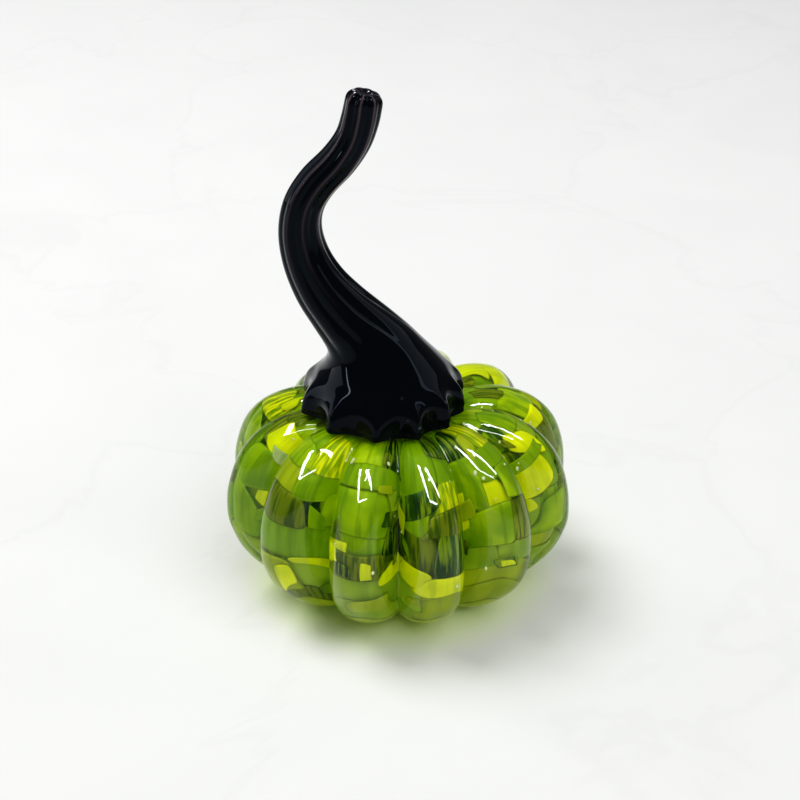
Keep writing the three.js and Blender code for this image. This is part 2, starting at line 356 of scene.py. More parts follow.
# The chips and the wall give off a little light in their own colour, a painted glow for light passing through
# the glass.
CHIP_PAINTED_GLOW = 0.16
CHIP_CORNERS = (0.03, 0.14)  # how far the corners of a chip are cut back
CHIP_SLANT = 0.22
CHIP_BULGE = 0.10
LOW_SWAY = 0.018  # how far the chips under SWAY_TOP sway up and down
SWAY_TOP = 0.45
RIM_SHADE = 0.42
CREASE_ROUNDING = 0.12
SKIN_SCALE = (0.034, 0.082)  # metres of skin for one radian round the body, and for t from 0 to 1

streaks = bpy.data.node_groups.new("pulled_streaks", "ShaderNodeTree")
streaks.interface.new_socket("Fineness", in_out="INPUT", socket_type="NodeSocketFloat")
streaks.interface.new_socket("Streak", in_out="OUTPUT", socket_type="NodeSocketFloat")
streaks.interface.new_socket("Cloud", in_out="OUTPUT", socket_type="NodeSocketFloat")
group_in = streaks.nodes.new("NodeGroupInput")
group_out = streaks.nodes.new("NodeGroupOutput")
skin_place = streaks.nodes.new("ShaderNodeAttribute")
skin_place.attribute_name = "skin_place"
pulled = streaks.nodes.new("ShaderNodeVectorMath")
pulled.operation = "MULTIPLY"
pulled.inputs[1].default_value = (520.0, 38.0, 60.0)
finer = streaks.nodes.new("ShaderNodeVectorMath")
finer.operation = "SCALE"
fine_noise = streaks.nodes.new("ShaderNodeTexNoise")
fine_noise.inputs["Scale"].default_value = 1.0
fine_noise.inputs["Detail"].default_value = 3.0
cloud_noise = streaks.nodes.new("ShaderNodeTexNoise")
cloud_noise.inputs["Scale"].default_value = 150.0
cloud_noise.inputs["Detail"].default_value = 2.0
streaks.links.new(skin_place.outputs["Vector"], pulled.inputs[0])
streaks.links.new(pulled.outputs["Vector"], finer.inputs[0])
streaks.links.new(group_in.outputs["Fineness"], finer.inputs["Scale"])
streaks.links.new(finer.outputs["Vector"], fine_noise.inputs["Vector"])
streaks.links.new(skin_place.outputs["Vector"], cloud_noise.inputs["Vector"])
streaks.links.new(fine_noise.outputs["Fac"], group_out.inputs["Streak"])
streaks.links.new(cloud_noise.outputs["Fac"], group_out.inputs["Cloud"])


def colour_mix(tree, factor, low, high):
    """A Mix Color node between two colours or sockets."""
    node = tree.nodes.new("ShaderNodeMix")
    node.data_type = "RGBA"
    for socket, value in ((node.inputs["Factor"], factor), (node.inputs["A"], low), (node.inputs["B"], high)):
        if isinstance(value, bpy.types.NodeSocket):
            tree.links.new(value, socket)
        else:
            socket.default_value = value
    return node.outputs["Result"]


def stretched(tree, source, low, high):
    """A value that runs from 0 to 1 while its source runs from low to high."""
    node = tree.nodes.new("ShaderNodeMapRange")
    node.inputs["From Min"].default_value = low
    node.inputs["From Max"].default_value = high
    tree.links.new(source, node.inputs["Value"])
    return node.outputs["Result"]


def chip_glass(name, light, dark, streak_colour, streaky, fineness):
    """Coloured glass of a chip: cloudy from light to dark, with pulled streaks, a thin rim of painted shade
    and a painted glow in its own colour.
    """
    material, tree, surface = new_material(name)
    glass = tree.nodes.new("ShaderNodeBsdfPrincipled")
    glass.inputs["Roughness"].default_value = 0.35
    glass.inputs["Specular IOR Level"].default_value = 0.1
    pulled = tree.nodes.new("ShaderNodeGroup")
    pulled.node_tree = streaks
    pulled.inputs["Fineness"].default_value = fineness
    tone = tree.nodes.new("ShaderNodeAttribute")
    tone.attribute_name = "tone"
    rim = tree.nodes.new("ShaderNodeAttribute")
    rim.attribute_name = "rim"
    cloudy = colour_mix(tree, stretched(tree, pulled.outputs["Cloud"], 0.35, 0.65), (*light, 1), (*dark, 1))
    toned = colour_mix(tree, tone.outputs["Fac"], cloudy, (*dark, 1))
    strength = tree.nodes.new("ShaderNodeMath")
    strength.operation = "MULTIPLY"
    strength.inputs[1].default_value = streaky
    tree.links.new(stretched(tree, pulled.outputs["Streak"], 0.47, 0.60), strength.inputs[0])
    streaked = colour_mix(tree, strength.outputs["Value"], toned, (*streak_colour, 1))
    # Painted shade: each chip is darkened towards its edge, standing for the shade between the chips.
    rim_shade_colour = tuple(c * RIM_SHADE for c in dark)
    rim_shaded = colour_mix(tree, stretched(tree, rim.outputs["Fac"], 0.91, 1.0), streaked, (*rim_shade_colour, 1))
    tree.links.new(rim_shaded, glass.inputs["Base Color"])
    # The colour is also given off as light, a painted glow for the light that passes through the glass.
    tree.links.new(rim_shaded, glass.inputs["Emission Color"])
    glass.inputs["Emission Strength"].default_value = CHIP_PAINTED_GLOW
    tree.links.new(glass.outputs["BSDF"], surface.inputs["Surface"])
    return material


CHIP_GLASS = {
    "green": chip_glass("chip_green", (0.31, 0.45, 0.0), (0.14, 0.26, 0.0), (0.07, 0.16, 0.0), 0.55, 1.4),
    "yellow": chip_glass("chip_yellow", (0.74, 0.78, 0.0), (0.50, 0.58, 0.0), (0.28, 0.38, 0.0), 0.45, 1.4),
    "pale": chip_glass("chip_pale", (0.28, 0.40, 0.02), (0.17, 0.28, 0.01), (0.10, 0.18, 0.005), 0.35, 0.9),
    "olive": chip_glass(
        "chip_olive", (0.22, 0.27, 0.002), (0.10, 0.14, 0.001), (0.015, 0.04, 0.001), 0.75, 3.0
    ),
    "dark": chip_glass("chip_dark", (0.04, 0.10, 0.004), (0.006, 0.025, 0.004), (0.22, 0.32, 0.0), 0.6, 3.0),
    "streaked": chip_glass(
        "chip_streaked", (0.24, 0.36, 0.0), (0.10, 0.20, 0.0), (0.74, 0.74, 0.0), 0.8, 3.2
    ),
    "moss": chip_glass("chip_moss", (0.36, 0.42, 0.01), (0.23, 0.30, 0.006), (0.13, 0.20, 0.003), 0.45, 1.0),
    # Painted light: the clear chip's pale colour stands for the bright light seen through clear glass.
    "clear": chip_glass("chip_clear_painted_light", (0.62, 0.68, 0.46), (0.32, 0.42, 0.14), (0.10, 0.2, 0.02), 0.4, 1.2),
}
CHIP_KINDS = list(CHIP_GLASS)

# Chips of the front lobes as they lie: lower and upper end along the skin, left and right edge
# between the creases, how far the right end is raised, colour.
LAID_CHIPS = {
    11: [
        (0.05, 0.17, -0.95, 0.95, 0, "moss"), (0.16, 0.25, -0.95, 0.95, 0, "pale"),
        (0.24, 0.375, -1.0, 1.0, 0, "pale"),
        (0.375, 0.455, -0.5, 0.6, 0, "olive"), (0.43, 0.48, -1.0, -0.15, 0, "yellow"),
        (0.445, 0.515, -0.3, 0.7, 0, "green"), (0.42, 0.53, 0.6, 1.1, 0, "dark"),
        (0.505, 0.63, -1.0, 0.6, 0, "green"), (0.54, 0.63, 0.62, 1.0, 0, "pale"),
        (0.635, 0.705, -0.65, 0.92, 0, "green"), (0.62, 0.72, -1.0, -0.7, 0, "moss"),
        (0.705, 0.86, -0.85, 0.5, 0, "green"), (0.70, 0.86, 0.5, 1.05, 0, "dark"),
    ],
    0: [
        (0.05, 0.17, -0.95, 0.95, 0, "moss"), (0.16, 0.25, -1.0, -0.4, 0, "pale"),
        (0.16, 0.29, -0.45, 0.9, 0, "moss"), (0.24, 0.355, -1.0, -0.35, 0, "pale"),
        (0.29, 0.375, -0.4, 0.9, 0, "moss"),
        (0.37, 0.515, -0.75, -0.05, 0, "olive"), (0.37, 0.515, -0.05, 0.8, 0, "dark"),
        (0.42, 0.53, -1.1, -0.7, 0, "dark"), (0.515, 0.585, -1.05, -0.2, -0.02, "green"),
        (0.50, 0.56, -0.2, 0.6, 0, "olive"), (0.555, 0.64, -0.8, 0.05, 0.03, "dark"),
        (0.53, 0.65, 0.05, 0.85, 0, "streaked"), (0.44, 0.56, 0.65, 1.05, 0, "yellow"),
        (0.62, 0.84, -0.9, 0.15, 0, "green"), (0.64, 0.74, 0.15, 0.9, 0, "green"),
        (0.73, 0.86, 0.15, 0.95, 0, "dark"),
    ],
    10: [
        (0.05, 0.16, -0.95, 0.95, 0, "moss"), (0.14, 0.215, -0.9, 0.9, 0, "olive"),
        (0.20, 0.335, 0.25, 1.0, 0, "pale"), (0.21, 0.36, -0.95, 0.3, 0, "moss"),
        (0.335, 0.362, 0.3, 0.9, 0, "yellow"), (0.36, 0.485, -0.6, 0.9, 0, "green"),
        (0.42, 0.50, -1.0, -0.55, 0, "pale"), (0.475, 0.56, -0.4, 0.38, 0, "olive"),
        (0.485, 0.56, 0.35, 0.75, 0, "dark"), (0.48, 0.58, 0.7, 1.0, 0, "green"),
        (0.56, 0.655, 0.1, 0.95, 0, "green"), (0.55, 0.65, -0.9, 0.1, 0, "moss"),
        (0.64, 0.80, 0.15, 0.95, 0, "streaked"), (0.64, 0.72, -0.9, 0.15, 0, "green"),
        (0.71, 0.86, -0.9, 0.1, 0, "green"), (0.79, 0.86, 0.1, 0.9, 0, "green"),
    ],
    1: [
        (0.05, 0.16, -0.95, 0.95, 0, "moss"), (0.15, 0.25, -0.95, 0.95, 0, "moss"),
        (0.24, 0.335, -0.95, 0.5, 0, "moss"), (0.25, 0.34, 0.4, 0.95, 0, "pale"),
        (0.33, 0.42, -0.78, -0.35, 0, "pale"), (0.33, 0.43, -0.35, 0.9, 0, "pale"),
        (0.42, 0.53, -0.8, -0.05, 0, "green"), (0.42, 0.53, -0.1, 0.95, 0, "olive"),
        (0.36, 0.50, -1.05, -0.75, 0, "dark"), (0.47, 0.58, -1.0, -0.78, 0, "yellow"),
        (0.53, 0.70, -0.9, -0.4, 0, "green"), (0.525, 0.615, -0.5, 0.05, 0, "yellow"),
        (0.53, 0.64, 0.05, 0.95, 0, "green"), (0.615, 0.71, -0.5, 0.6, 0, "green"),
        (0.70, 0.84, -0.95, -0.25, 0, "dark"), (0.70, 0.78, -0.3, 0.05, 0.02, "moss"),
        (0.70, 0.85, 0.0, 0.95, 0, "streaked"),
    ],
    9: [
        (0.05, 0.16, -0.95, 0.95, 0, "moss"), (0.15, 0.30, -0.95, 0.95, 0, "pale"),
        (0.28, 0.44, 0.4, 0.95, 0, "pale"), (0.30, 0.49, -0.8, 0.45, 0, "green"),
        (0.43, 0.50, 0.48, 0.78, -0.02, "yellow"), (0.44, 0.52, 0.75, 1.0, 0, "pale"),
        (0.485, 0.61, -0.3, 0.85, 0.01, "green"), (0.49, 0.62, -0.95, -0.3, 0, "green"),
        (0.575, 0.615, 0.5, 1.0, 0, "clear"), (0.615, 0.705, 0.0, 0.95, -0.02, "yellow"),
        (0.62, 0.72, -0.9, 0.0, 0, "olive"), (0.70, 0.85, 0.2, 0.95, 0, "green"),
        (0.71, 0.86, -0.85, 0.2, 0, "olive"),
    ],
    2: [
        (0.05, 0.16, -0.95, 0.95, 0, "moss"), (0.15, 0.26, -0.9, 0.9, 0, "pale"),
        (0.25, 0.33, -0.8, 0.4, 0, "moss"), (0.33, 0.45, -0.5, 0.6, 0, "green"),
        (0.33, 0.47, -0.9, -0.5, 0, "pale"), (0.44, 0.49, -0.35, 0.6, 0, "green"),
        (0.483, 0.578, -0.8, -0.15, 0.025, "yellow"), (0.48, 0.60, -0.15, 0.9, 0, "green"),
        (0.57, 0.64, -0.85, -0.1, 0, "olive"), (0.60, 0.675, -0.5, 0.1, -0.03, "yellow"),
        (0.60, 0.70, 0.1, 0.9, 0, "pale"), (0.65, 0.79, -0.9, -0.35, 0, "dark"),
        (0.68, 0.79, -0.35, 0.4, 0, "green"), (0.78, 0.86, -0.8, 0.6, 0, "green"),
    ],
    3: [
        (0.05, 0.22, -0.95, 0.95, 0, "pale"), (0.21, 0.32, -0.95, 0.1, 0, "moss"),
        (0.21, 0.34, 0.1, 0.95, 0, "green"), (0.32, 0.44, -0.95, 0.4, 0, "pale"),
        (0.42, 0.58, -0.9, 0.2, 0, "olive"), (0.42, 0.60, 0.2, 0.95, 0, "green"),
        (0.57, 0.62, -0.6, -0.1, 0, "yellow"), (0.60, 0.73, -0.5, 0.4, 0, "green"),
        (0.60, 0.72, -0.95, -0.5, 0, "olive"), (0.72, 0.80, -0.3, 0.2, 0, "olive"),
        (0.73, 0.86, -0.9, -0.3, 0, "green"), (0.79, 0.86, -0.3, 0.6, 0, "green"),
        (0.62, 0.78, 0.4, 0.95, 0, "pale"),
    ],
    8: [
        (0.05, 0.20, -0.95, 0.95, 0, "pale"), (0.19, 0.33, -0.9, 0.3, 0, "moss"),
        (0.20, 0.34, 0.3, 0.95, 0, "green"), (0.33, 0.46, -0.9, 0.9, 0, "pale"),
        (0.45, 0.60, -0.9, 0.4, 0, "green"), (0.45, 0.62, 0.4, 0.95, 0, "olive"),
        (0.60, 0.71, -0.3, 0.6, 0, "streaked"), (0.60, 0.72, 0.6, 0.95, 0, "olive"),
        (0.60, 0.75, -0.95, -0.3, 0, "green"), (0.70, 0.86, 0.0, 0.9, 0, "green"),
        (0.72, 0.86, -0.8, 0.0, 0, "olive"),
    ],
}

# The other lobes get rows of chips laid at random, some rows of one chip and some of two.
CHIP_CHANCES = (
    ["green"] * 8 + ["yellow"] * 4 + ["pale"] * 2 + ["streaked"] + ["moss", "olive"] * 2 + ["dark"] * 2
)
FIRST_ROW = 0.05
LAST_ROW = 0.82
ROW_HEIGHTS = (0.07, 0.13)
ROWS_END = 0.84
ROW_SPLITS = [None, -0.3, 0.1, 0.35]
ROW_EDGE = 0.93
draw = random.Random(7)
for lobe in range(LOBES):
    if lobe in LAID_CHIPS:
        continue
    stack, low = [], FIRST_ROW
    while low < LAST_ROW:
        high = min(low + draw.uniform(*ROW_HEIGHTS), ROWS_END)
        split = draw.choice(ROW_SPLITS)
        spans = [(-ROW_EDGE, ROW_EDGE)] if split is None else [(-ROW_EDGE, split), (split, ROW_EDGE)]
        for left, right in spans:
            # Painted reflection: low rows take the pale chip more often, whose greyer green stands for the
            # white floor mirrored in the lower lobes.
            kind = "pale" if high < 0.3 and draw.random() < 0.6 else draw.choice(CHIP_CHANCES)
            shift = draw.uniform(-0.012, 0.012)
            stack.append((low + shift, high + shift, left, right, draw.uniform(-0.04, 0.04), kind))
        low = high
    LAID_CHIPS[lobe] = stack

# Slivers that broke off the chips lie over them, most of them close to the creases. Each has its
# lobe first and then what a chip has. The dark one of lobe 1, with a yellow one in it, stands for a
# flat bubble.
SLIVERS_PER_LOBE = 5
SLIVER_CHANCES = ["green", "green", "yellow", "olive", "moss"]
slivers = [
    (11, 0.235, 0.285, -0.1, 0.65, 0.03, "moss"), (11, 0.39, 0.425, -0.35, -0.08, 0, "dark"),
    (11, 0.36, 0.42, 0.55, 1.08, 0.015, "yellow"), (0, 0.345, 0.415, -1.05, -0.3, -0.01, "yellow"),
    (0, 0.295, 0.37, -0.4, 0.85, -0.025, "yellow"), (11, 0.385, 0.43, 0.2, 0.3, 0, "yellow"),
    (11, 0.53, 0.56, 0.6, 0.9, 0, "dark"),
    (1, 0.322, 0.367, -0.37, -0.08, 0, "dark"), (1, 0.332, 0.357, -0.3, -0.15, 0, "yellow"),
    (2, 0.43, 0.47, -0.75, -0.6, 0, "yellow"), (2, 0.573, 0.603, -0.85, -0.05, 0.02, "green"),
    (10, 0.23, 0.32, 0.05, 0.3, 0.02, "yellow"),
    (9, 0.578, 0.622, 0.5, 0.95, -0.015, "clear"), (11, 0.625, 0.645, 0.45, 0.7, 0, "moss"),
]
for lobe in range(LOBES):
    for _ in range(SLIVERS_PER_LOBE):
        middle_across = draw.choice([-1, 1]) * draw.uniform(0.45, 0.95)
        half_across = draw.uniform(0.04, 0.13)
        low = draw.uniform(0.2, 0.78)
        slivers.append((
            lobe, low, low + draw.uniform(0.02, 0.06), middle_across - half_across,
            middle_across + half_across, draw.uniform(-0.02, 0.02), draw.choice(SLIVER_CHANCES),
        ))


def chip_points(lobe, low, high, left, right, tilt, depth, thickness):
    """Outer and inner skin of one chip, a shard with four uneven sides that follows the lobe."""
    u, v = np.meshgrid(np.linspace(-1, 1, CHIP_STEPS), np.linspace(-1, 1, CHIP_STEPS))
    full = np.maximum(np.abs(u), np.abs(v))
    diagonal = (np.hypot(u, v) / np.maximum(full, 1e-9) - 1) / (math.sqrt(2) - 1)
    corner = np.clip(diagonal, 0, 1) ** 3 * full**4
    reach = 1 - draw.uniform(*CHIP_CORNERS) * corner
    slant = [draw.uniform(-CHIP_SLANT, CHIP_SLANT) for _ in range(4)]
    bulge = [draw.uniform(-CHIP_BULGE, CHIP_BULGE) for _ in range(2)]
    x = u * reach * (1 + slant[0] * v) + slant[1] * v + bulge[0] * np.cos(2.4 * v)
    y = v * reach * (1 + slant[2] * u) + 0.6 * slant[3] * u + bulge[1] * np.cos(2.4 * u)
    overlap_t = CHIP_OVERLAP_MM * MM / SKIN_SCALE[1]
    across = np.clip((left + right) / 2 + ((right - left) / 2 + 0.05) * x, -1.25, 1.25)
    t = (low + high) / 2 + ((high - low) / 2 + overlap_t) * y + tilt * u
    t -= CHIP_BOW * np.clip(across**2, 0, 1)
    t += LOW_SWAY * smooth_step(SWAY_TOP - t, 0.0, 0.2) * np.sin(4.5 * across + 2.5 * lobe)
    t = np.clip(t, 0.01, 0.9)
    crown = np.sqrt(np.clip(1 - full**6, 0, 1))
    outer = lobe_skin(lobe, across, t, depth + thickness * (1 - crown) / 2, CREASE_ROUNDING)
    inner = lobe_skin(lobe, across, t, depth + thickness * (1 + crown) / 2, CREASE_ROUNDING)
    return outer, inner, across, t, full


def smooth_step(value, low, high):
    """A value that eases from 0 to 1 while the given one goes from low to high."""
    share = np.clip((value - low) / (high - low), 0, 1)
    return share * share * (3 - 2 * share)


def lobe_turn(lobe, across):
    """Azimuth in radians, from the front, of points on a lobe."""
    edges = np.radians(np.array(CREASE_DEGREES))
    return (edges[lobe] + edges[lobe + 1]) / 2 + across * (edges[lobe + 1] - edges[lobe]) / 2


chip_vertices, chip_faces, chip_slots = [], [], []
chip_tones, chip_rims, chip_places = [], [], []


def add_chip(lobe, low, high, left, right, tilt, kind, depth, thickness):
    """Adds one chip, closed all round, to the lists that the mesh is made from."""
    outer, inner, across, t, full = chip_points(lobe, low, high, left, right, tilt, depth, thickness)
    base = sum(len(v) for v in chip_vertices)
    count = CHIP_STEPS * CHIP_STEPS
    chip_vertices.extend([outer.reshape(-1, 3), inner.reshape(-1, 3)])
    place = np.stack([
        lobe_turn(lobe, across) * SKIN_SCALE[0],
        t * SKIN_SCALE[1],
        np.full(t.shape, draw.uniform(0, 1)),
    ], axis=-1).reshape(-1, 3)
    chip_places.extend([place, place])
    chip_rims.extend([full.ravel(), full.ravel()])
    chip_tones.append(np.full(2 * count, draw.random()))
    for row in range(CHIP_STEPS - 1):
        for column in range(CHIP_STEPS - 1):
            a = base + row * CHIP_STEPS + column
            b, c, d = a + 1, a + CHIP_STEPS + 1, a + CHIP_STEPS
            chip_faces.extend([(a, b, c, d), (a + count, d + count, c + count, b + count)])
    border = (
        [(0, i) for i in range(CHIP_STEPS)]
        + [(i, CHIP_STEPS - 1) for i in range(1, CHIP_STEPS)]
        + [(CHIP_STEPS - 1, i) for i in range(CHIP_STEPS - 2, -1, -1)]
        + [(i, 0) for i in range(CHIP_STEPS - 2, 0, -1)]
    )
    for (r0, c0), (r1, c1) in zip(border, border[1:] + border[:1]):
        a, b = base + r0 * CHIP_STEPS + c0, base + r1 * CHIP_STEPS + c1
        chip_faces.append((a, a + count, b + count, b))
    chip_slots.extend([CHIP_KINDS.index(kind)] * (2 * (CHIP_STEPS - 1) ** 2 + len(border)))


for lobe, stack in sorted(LAID_CHIPS.items()):
    for order, chip in enumerate(stack):
        level = CHIP_DEPTH_MM + CHIP_LEVEL_MM * (order % 3) + draw.uniform(0, 0.1)
        add_chip(lobe, *chip, level, CHIP_THICKNESS_MM)
for lobe, *sliver in slivers:
    add_chip(lobe, *sliver, CHIP_DEPTH_MM - SLIVER_RISE_MM + draw.uniform(0, 0.3), SLIVER_THICKNESS_MM)


def add_values(piece, name, kind, values):
    """Stores a value for each point of a mesh, for its material to read."""
    field = {"FLOAT": "value", "FLOAT_VECTOR": "vector"}[kind]
    attribute = piece.data.attributes.new(name, kind, "POINT")
    attribute.data.foreach_set(field, np.asarray(values, np.float32).ravel())


chips = mesh_piece("colour_chips", np.vstack(chip_vertices), chip_faces, CHIP_GLASS[CHIP_KINDS[0]])
for kind in CHIP_KINDS[1:]:
    chips.data.materials.append(CHIP_GLASS[kind])
chips.data.polygons.foreach_set("material_index", chip_slots)
add_values(chips, "tone", "FLOAT", np.concatenate(chip_tones))
add_values(chips, "rim", "FLOAT", np.concatenate(chip_rims))
add_values(chips, "skin_place", "FLOAT_VECTOR", np.vstack(chip_places))
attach(chips, "root")


# Small air bubbles were shut in when clear glass was gathered over the chips. They sit in the
# casing, between the middle of a lobe and its creases, and most are drawn out a little upwards.
BUBBLES = 54
BUBBLE_RADIUS_MM = (0.16, 0.45)
BUBBLE_DEPTH_MM = (1.2, 1.7)
BUBBLE_STRETCH = (1.0, 1.9)
BUBBLE_CAP = 0.2  # how far its two ends stand out, in radii
BUBBLE_RINGS = 7
BUBBLE_SIDES = 12
air_bubble, tree, surface = new_material("air_bubble")
bubble_skin = tree.nodes.new("ShaderNodeBsdfPrincipled")
bubble_skin.inputs["Roughness"].default_value = 0.08
# Painted light: each bubble is pale where it faces the camera and dark towards its outline, a painted glint
# ringed with painted shade.
bubble_facing = tree.nodes.new("ShaderNodeLayerWeight")
bubble_facing.inputs["Blend"].default_value = 0.35
bubble_glint_and_shade = colour_mix(
    tree, bubble_facing.outputs["Facing"], (0.88, 0.92, 0.5, 1), (0.02, 0.05, 0.004, 1)
)
tree.links.new(bubble_glint_and_shade, bubble_skin.inputs["Base Color"])
tree.links.new(bubble_skin.outputs["BSDF"], surface.inputs["Surface"])
bubble_points, bubble_faces = [], []
for _ in range(BUBBLES):
    lobe = draw.randrange(LOBES)
    across = draw.choice([-1, 1]) * draw.uniform(0.3, 0.9)
    centre = lobe_skin(lobe, across, draw.uniform(0.3, 0.8), draw.uniform(*BUBBLE_DEPTH_MM))
    radius = draw.uniform(*BUBBLE_RADIUS_MM) * MM
    slopes = math.pi * (np.arange(1, BUBBLE_RINGS + 1) / (BUBBLE_RINGS + 1) - 0.5)
    sides = 2 * math.pi * np.arange(BUBBLE_SIDES) / BUBBLE_SIDES
    rings = np.stack([
        np.outer(np.cos(slopes), np.cos(sides)),
        np.outer(np.cos(slopes), np.sin(sides)),
        np.outer(np.sin(slopes) * draw.uniform(*BUBBLE_STRETCH), np.ones(BUBBLE_SIDES)),
    ], axis=-1) * radius + centre
    below = centre + [0, 0, rings[0, 0, 2] - centre[2] - BUBBLE_CAP * radius]
    above = centre + [0, 0, rings[-1, 0, 2] - centre[2] + BUBBLE_CAP * radius]
    points, faces = closed_rings(rings, below[None, :], above[None, :])
    base = sum(len(p) for p in bubble_points)
    bubble_points.append(points)
    bubble_faces += [tuple(base + i for i in face) for face in faces]
bubbles = mesh_piece("air_bubbles", np.vstack(bubble_points), bubble_faces, air_bubble)
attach(bubbles, "root")


# The inner wall is the first gather of green glass, which was blown hollow. The chips and the casing
# lie on it, it follows the lobes more softly than they do, and it is seen only between the chips.
WALL_DEPTH_MM = 4.7
WALL_ENDS = (0.03, 0.97)
WALL_TONE = 0.3
WALL_COLUMNS = 10
WALL_ROWS = 60
# The wall carries the chips' painted glow too.
wall_green = chip_glass("wall_green", (0.28, 0.42, 0.003), (0.13, 0.25, 0.003), (0.04, 0.10, 0.002), 0.6, 1.6)

wall_arc = 2 * np.arange(WALL_COLUMNS) / WALL_COLUMNS - 1
wall_across = np.tile(wall_arc, LOBES)
wall_lobe = np.repeat(np.arange(LOBES), WALL_COLUMNS)
wall_t = np.linspace(*WALL_ENDS, WALL_ROWS)
wall_rings = lobe_skin(
    wall_lobe[None, :], wall_across[None, :], wall_t[:, None], WALL_DEPTH_MM, CREASE_ROUNDING
)
wall_points, wall_faces = closed_rings(
    wall_rings,
    np.array([[0, 0, wall_rings[0, :, 2].mean()]]),
    np.array([[0, 0, wall_rings[-1, :, 2].mean()]]),
)
wall = mesh_piece("inner_wall", wall_points, wall_faces, wall_green)
wall_turn = lobe_turn(wall_lobe, wall_across)
wall_place = np.zeros((len(wall_points), 3))
wall_place[1:-1, 0] = np.tile(wall_turn * SKIN_SCALE[0], WALL_ROWS)
wall_place[1:-1, 1] = np.repeat(wall_t * SKIN_SCALE[1], len(wall_turn))
add_values(wall, "tone", "FLOAT", np.full(len(wall_points), WALL_TONE))
add_values(wall, "rim", "FLOAT", np.zeros(len(wall_points)))
add_values(wall, "skin_place", "FLOAT_VECTOR", wall_place)
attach(wall, "root")


# The stem is a bit of almost black glass, drawn out hot from the crown, fluted as it was pulled and
# bent over in two curves. Its foot spreads into a skirt whose pleated, rolled rim lies on the lobes.
STEM_SECTIONS_MM = [  # left x, left height, right x, right height, y, half depth
    (-20.3, 42.9, 13.5, 42.9, 0, 16.9), (-19.6, 46.2, 13.1, 46.4, 0, 16.3),
    (-17.7, 48.5, 11.3, 49.1, 0, 14.4), (-16.2, 50.3, 8.6, 52.2, 0, 12),
    (-15.3, 51.9, 5.7, 55.4, 0, 10.1), (-14.9, 53.5, 2.7, 58.7, 0.1, 8.7),
    (-15.2, 55.2, -0.9, 62.1, 0.2, 7.8), (-16.2, 57.2, -4.3, 65, 0.4, 7.3),
    (-17.9, 60, -7.5, 67.8, 0.7, 6.6), (-21.1, 65.7, -11.1, 71.6, 1, 5.6),
    (-23.6, 73, -13.8, 75.8, 1.4, 4.9), (-24.4, 80.6, -15.3, 80.6, 1.6, 4.5),
    (-23, 87.8, -15, 85, 1.4, 4.2), (-19.4, 93.9, -12.8, 89.1, 1, 4),
    (-15, 98.6, -8.8, 93.8, 0.5, 3.9), (-12.3, 102.5, -5.5, 99.1, 0, 3.8),
    (-11.1, 106.2, -3.7, 104.2, -0.3, 3.8), (-10.3, 109.8, -2.9, 108.2, -0.4, 3.8),
]
STEM_COLUMNS = 144
STEM_ROWS = 80
STEM_END_MM = 1.88
STEM_DIMPLE_MM = 0.5
FLUTES = 8
FLUTE_DEPTH = 0.09
FLUTES_GROW = (0.25, 0.5)  # where along the stem they begin and are full
FLUTE_TWIST = math.radians(55)
RIDGE_SHARPNESS = 30  # the higher, the thinner the painted highlight line on each ridge
COLLAR_CENTRE_MM = -3.5
COLLAR_RADIUS_MM = 16.8
SCALLOP_MM = 1.6
PLEATS_FADE = (-0.03, 0.16)
TIP_ROUNDING = 0.015  # of the points of the skirt's rim
LIP_MM = 1.0
LIP_BACK_MM = 0.4
LIP_SLOPES = [-90, -60, -30, 0, 30, 60]
END_SLOPES = [18, 36, 54, 70, 85]
COLLAR_SAG = 0.35
JOINT_GAP_MM = 0.4

stem_turns = 2 * math.pi * np.arange(STEM_COLUMNS) / STEM_COLUMNS


def place_on_lobes(azimuth):
    """Which lobe each azimuth is on, and how far across it."""
    degrees = np.degrees(np.mod(azimuth - FRONT, 2 * math.pi))
    lobe = np.clip(np.searchsorted(CREASE_DEGREES, degrees + 1e-6, side="right") - 1, 0, LOBES - 1)
    edges = np.array(CREASE_DEGREES)
    across = (2 * degrees - edges[lobe] - edges[lobe + 1]) / (edges[lobe + 1] - edges[lobe])
    return lobe, np.clip(across, -1, 1)


stem_lobe, stem_across = place_on_lobes(stem_turns)
scallop = SCALLOP_MM * (1 - 2 * np.sqrt(np.sin(stem_across * math.pi / 2) ** 2 + TIP_ROUNDING))
rim_side = COLLAR_CENTRE_MM * np.sin(stem_turns)
rim_distance = COLLAR_CENTRE_MM * np.cos(stem_turns) + np.sqrt(COLLAR_RADIUS_MM**2 - rim_side**2) + scallop
stem_dip = 1 - np.cos(np.arcsin(stem_across * math.sin(LOBE_HALF_ARC)))
stem_dip = stem_dip / (1 - math.cos(LOBE_HALF_ARC)) * COLLAR_SAG


def crown_height(distance):
    """Height in mm of the crown under each column, where the collar bridges the creases."""
    t = np.linspace(0.5, 1, 400)
    ridge, crease = curve_at(RIDGE_LINE_MM, t), curve_at(CREASE_LINE_MM, t)
    heights = []
    for column in range(STEM_COLUMNS):
        belly = 1 - (1 - LOBE_REACH[stem_lobe[column]]) * np.sin(math.pi * t)
        share = stem_dip[column]
        radius = ridge[:, 0] * belly * (1 - share) + crease[:, 0] * share
        height = ridge[:, 1] * (1 - share) + crease[:, 1] * share
        heights.append(np.interp(distance[column], radius[::-1], height[::-1]))
    return np.array(heights)


def collar_ring(share, back, lift):
    """One ring over the crown, at a share of the rim's distance, drawn back and lifted by lengths."""
    distance = rim_distance * share - back
    height = crown_height(distance) + JOINT_GAP_MM + lift
    return np.stack([distance * np.cos(stem_turns), distance * np.sin(stem_turns), height], axis=-1)


